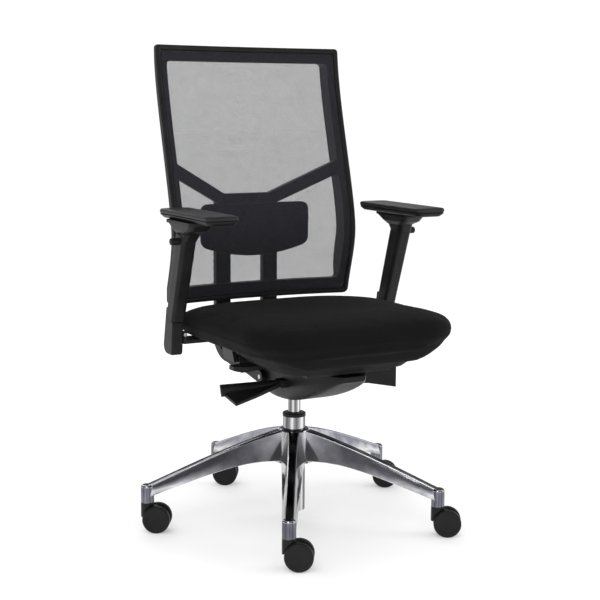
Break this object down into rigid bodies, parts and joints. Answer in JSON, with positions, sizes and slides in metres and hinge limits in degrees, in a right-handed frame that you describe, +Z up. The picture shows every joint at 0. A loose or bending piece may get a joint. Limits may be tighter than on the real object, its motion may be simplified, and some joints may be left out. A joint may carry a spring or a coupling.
{
  "type": "swivel office chair",
  "caption": "Swivel office chair with a framed mesh back, lumbar pad, upholstered seat, adjustable armrests and a polished star base on twin-wheel casters.",
  "frame": {"origin": "on the floor, on the seat's swivel axis", "axes": "+Z up, the sitter faces -Y, and +X is towards the sitter's left"},
  "size_m": [0.6978, 0.6819, 1.05],
  "materials": {
    "polished_aluminium": "polished",
    "chrome": "polished",
    "steel": "satin",
    "black_steel": "satin black",
    "black_plastic": "satin moulded",
    "wheel_nylon": "smooth moulded",
    "seat_fabric": "woven",
    "mesh_fabric": "open mesh",
    "pad_rubber": "soft touch"
  },
  "bodies": {
    "base": {"base_star": "polished_aluminium", "caster_stems": "steel", "lift_outer_tube": "chrome", "lift_guide_bush": "black_plastic"},
    "lift_core": {"lift_rod": "steel", "lift_thrust_bearing": "steel", "lift_retaining_clip": "steel"},
    "mechanism": {"gas_cylinder": "chrome", "mechanism_housing": "black_plastic", "back_pivot_pin": "steel", "seat_pivot_pin": "steel", "tilt_spring": "steel"},
    "lift_valve": {"valve_pin": "steel"},
    "height_lever": {"height_lever": "black_plastic"},
    "tilt_lock_lever": {"tilt_lock_lever": "black_plastic"},
    "seat_carrier": {"seat_plate": "black_steel"},
    "seat_depth_lever": {"seat_depth_lever": "black_plastic"},
    "seat": {"seat_pan": "black_plastic", "seat_cushion": "seat_fabric"},
    "back": {"back_carrier": "black_plastic", "back_support": "black_plastic", "back_support_screws": "steel", "back_frame": "black_plastic", "back_mesh": "mesh_fabric"},
    "lumbar": {"lumbar_slider": "black_plastic", "lumbar_pad": "seat_fabric"},
    "arm_left_bracket": {"arm_bracket_left": "black_steel", "arm_lower_cover_left": "black_plastic", "arm_post_left": "steel"},
    "arm_left_sleeve": {"arm_sleeve_left": "black_plastic"},
    "arm_left_button": {"arm_button_left": "black_plastic"},
    "arm_left_turntable": {"arm_turntable_left": "black_plastic"},
    "arm_left_pad": {"arm_pad_left": "pad_rubber"},
    "arm_right_bracket": {"arm_bracket_right": "black_steel", "arm_lower_cover_right": "black_plastic", "arm_post_right": "steel"},
    "arm_right_sleeve": {"arm_sleeve_right": "black_plastic"},
    "arm_right_button": {"arm_button_right": "black_plastic"},
    "arm_right_turntable": {"arm_turntable_right": "black_plastic"},
    "arm_right_pad": {"arm_pad_right": "pad_rubber"},
    "caster_1": {"caster_hood_1": "black_plastic", "caster_axle_1": "steel"},
    "wheel_left_1": {"caster_wheel_left_1": "wheel_nylon"},
    "wheel_right_1": {"caster_wheel_right_1": "wheel_nylon"},
    "caster_2": {"caster_hood_2": "black_plastic", "caster_axle_2": "steel"},
    "wheel_left_2": {"caster_wheel_left_2": "wheel_nylon"},
    "wheel_right_2": {"caster_wheel_right_2": "wheel_nylon"},
    "caster_3": {"caster_hood_3": "black_plastic", "caster_axle_3": "steel"},
    "wheel_left_3": {"caster_wheel_left_3": "wheel_nylon"},
    "wheel_right_3": {"caster_wheel_right_3": "wheel_nylon"},
    "caster_4": {"caster_hood_4": "black_plastic", "caster_axle_4": "steel"},
    "wheel_left_4": {"caster_wheel_left_4": "wheel_nylon"},
    "wheel_right_4": {"caster_wheel_right_4": "wheel_nylon"},
    "caster_5": {"caster_hood_5": "black_plastic", "caster_axle_5": "steel"},
    "wheel_left_5": {"caster_wheel_left_5": "wheel_nylon"},
    "wheel_right_5": {"caster_wheel_right_5": "wheel_nylon"}
  },
  "joints": [
    {"name": "seat_swivel", "type": "hinge", "parent": "base", "child": "lift_core", "pos_m": [0, 0, 0.2], "axis": [0, 0, 1], "continuous": true},
    {"name": "seat_height", "type": "slide", "parent": "lift_core", "child": "mechanism", "axis": [0, 0, 1], "range_m": [-0.02, 0.1]},
    {"name": "height_lever_pull", "type": "hinge", "parent": "mechanism", "child": "height_lever", "pos_m": [-0.071, 0, 0.33], "axis": [0, 1, 0], "range_deg": [0, 12], "stiffness_Nm_per_rad": 0.6, "springref_deg": -14.32},
    {"name": "valve_press", "type": "slide", "parent": "mechanism", "child": "lift_valve", "axis": [0, 0, -1], "range_m": [0, 0.0031]},
    {"name": "tilt_lock_turn", "type": "hinge", "parent": "mechanism", "child": "tilt_lock_lever", "pos_m": [0.066, -0.1, 0.332], "axis": [1, 0, 0], "range_deg": [0, 25]},
    {"name": "back_tilt", "type": "hinge", "parent": "mechanism", "child": "back", "pos_m": [0, 0.03, 0.326], "axis": [-1, 0, 0], "range_deg": [0, 20], "stiffness_Nm_per_rad": 80, "springref_deg": -20.05},
    {"name": "seat_tilt", "type": "hinge", "parent": "mechanism", "child": "seat_carrier", "pos_m": [0, -0.15, 0.362], "axis": [-1, 0, 0], "range_deg": [0, 7.2]},
    {"name": "seat_depth", "type": "slide", "parent": "seat_carrier", "child": "seat", "axis": [0, -1, 0], "range_m": [0, 0.05]},
    {"name": "seat_depth_pull", "type": "hinge", "parent": "seat_carrier", "child": "seat_depth_lever", "pos_m": [-0.093, -0.032, 0.368], "axis": [0, 1, 0], "range_deg": [0, 7], "stiffness_Nm_per_rad": 0.4, "springref_deg": -14.32},
    {"name": "lumbar_height", "type": "slide", "parent": "back", "child": "lumbar", "axis": [0, 0, 1], "range_m": [-0.025, 0.025]},
    {"name": "arm_left_width", "type": "slide", "parent": "seat_carrier", "child": "arm_left_bracket", "axis": [1, 0, 0], "range_m": [0, 0.03]},
    {"name": "arm_left_height", "type": "slide", "parent": "arm_left_bracket", "child": "arm_left_sleeve", "axis": [0, -0.309, 0.9511], "range_m": [0, 0.08]},
    {"name": "arm_left_button_press", "type": "slide", "parent": "arm_left_sleeve", "child": "arm_left_button", "axis": [-1, 0, 0], "range_m": [0, 0.003], "stiffness_N_per_m": 400, "springref_m": -0.002},
    {"name": "arm_left_pad_swivel", "type": "hinge", "parent": "arm_left_sleeve", "child": "arm_left_turntable", "pos_m": [0.256, -0.012, 0.655], "axis": [0, 0, 1], "range_deg": [-20, 20]},
    {"name": "arm_left_pad_slide", "type": "slide", "parent": "arm_left_turntable", "child": "arm_left_pad", "axis": [0, -1, 0], "range_m": [-0.03, 0.03]},
    {"name": "arm_right_width", "type": "slide", "parent": "seat_carrier", "child": "arm_right_bracket", "axis": [-1, 0, 0], "range_m": [0, 0.03]},
    {"name": "arm_right_height", "type": "slide", "parent": "arm_right_bracket", "child": "arm_right_sleeve", "axis": [0, -0.309, 0.9511], "range_m": [0, 0.08]},
    {"name": "arm_right_button_press", "type": "slide", "parent": "arm_right_sleeve", "child": "arm_right_button", "axis": [1, 0, 0], "range_m": [0, 0.003], "stiffness_N_per_m": 400, "springref_m": -0.002},
    {"name": "arm_right_pad_swivel", "type": "hinge", "parent": "arm_right_sleeve", "child": "arm_right_turntable", "pos_m": [-0.256, -0.012, 0.655], "axis": [0, 0, 1], "range_deg": [-20, 20]},
    {"name": "arm_right_pad_slide", "type": "slide", "parent": "arm_right_turntable", "child": "arm_right_pad", "axis": [0, -1, 0], "range_m": [-0.03, 0.03]},
    {"name": "caster_swivel_1", "type": "hinge", "parent": "base", "child": "caster_1", "pos_m": [-0.16715, -0.2857, 0.06], "axis": [0, 0, 1], "continuous": true},
    {"name": "wheel_left_spin_1", "type": "hinge", "parent": "caster_1", "child": "wheel_left_1", "pos_m": [-0.14946, -0.29701, 0.03], "axis": [0.5388, 0.8425, 0], "continuous": true},
    {"name": "wheel_right_spin_1", "type": "hinge", "parent": "caster_1", "child": "wheel_right_1", "pos_m": [-0.14946, -0.29701, 0.03], "axis": [0.5388, 0.8425, 0], "continuous": true},
    {"name": "caster_swivel_2", "type": "hinge", "parent": "base", "child": "caster_2", "pos_m": [0.22006, -0.24725, 0.06], "axis": [0, 0, 1], "continuous": true},
    {"name": "wheel_left_spin_2", "type": "hinge", "parent": "caster_2", "child": "wheel_left_2", "pos_m": [0.23775, -0.25857, 0.03], "axis": [0.5388, 0.8425, 0], "continuous": true},
    {"name": "wheel_right_spin_2", "type": "hinge", "parent": "caster_2", "child": "wheel_right_2", "pos_m": [0.23775, -0.25857, 0.03], "axis": [0.5388, 0.8425, 0], "continuous": true},
    {"name": "caster_swivel_3", "type": "hinge", "parent": "base", "child": "caster_3", "pos_m": [0.30315, 0.13289, 0.06], "axis": [0, 0, 1], "continuous": true},
    {"name": "wheel_left_spin_3", "type": "hinge", "parent": "caster_3", "child": "wheel_left_3", "pos_m": [0.32084, 0.12157, 0.03], "axis": [0.5388, 0.8425, 0], "continuous": true},
    {"name": "wheel_right_spin_3", "type": "hinge", "parent": "caster_3", "child": "wheel_right_3", "pos_m": [0.32084, 0.12157, 0.03], "axis": [0.5388, 0.8425, 0], "continuous": true},
    {"name": "caster_swivel_4", "type": "hinge", "parent": "base", "child": "caster_4", "pos_m": [-0.0327, 0.32938, 0.06], "axis": [0, 0, 1], "continuous": true},
    {"name": "wheel_left_spin_4", "type": "hinge", "parent": "caster_4", "child": "wheel_left_4", "pos_m": [-0.01501, 0.31807, 0.03], "axis": [0.5388, 0.8425, 0], "continuous": true},
    {"name": "wheel_right_spin_4", "type": "hinge", "parent": "caster_4", "child": "wheel_right_4", "pos_m": [-0.01501, 0.31807, 0.03], "axis": [0.5388, 0.8425, 0], "continuous": true},
    {"name": "caster_swivel_5", "type": "hinge", "parent": "base", "child": "caster_5", "pos_m": [-0.32337, 0.07068, 0.06], "axis": [0, 0, 1], "continuous": true},
    {"name": "wheel_left_spin_5", "type": "hinge", "parent": "caster_5", "child": "wheel_left_5", "pos_m": [-0.30567, 0.05937, 0.03], "axis": [0.5388, 0.8425, 0], "continuous": true},
    {"name": "wheel_right_spin_5", "type": "hinge", "parent": "caster_5", "child": "wheel_right_5", "pos_m": [-0.30567, 0.05937, 0.03], "axis": [0.5388, 0.8425, 0], "continuous": true}
  ],
  "couplings": [
    {"joint": "seat_tilt", "follows": "back_tilt", "ratio": 0.35},
    {"joint": "valve_press", "follows": "height_lever_pull", "m_per_rad": 0.0143}
  ]
}
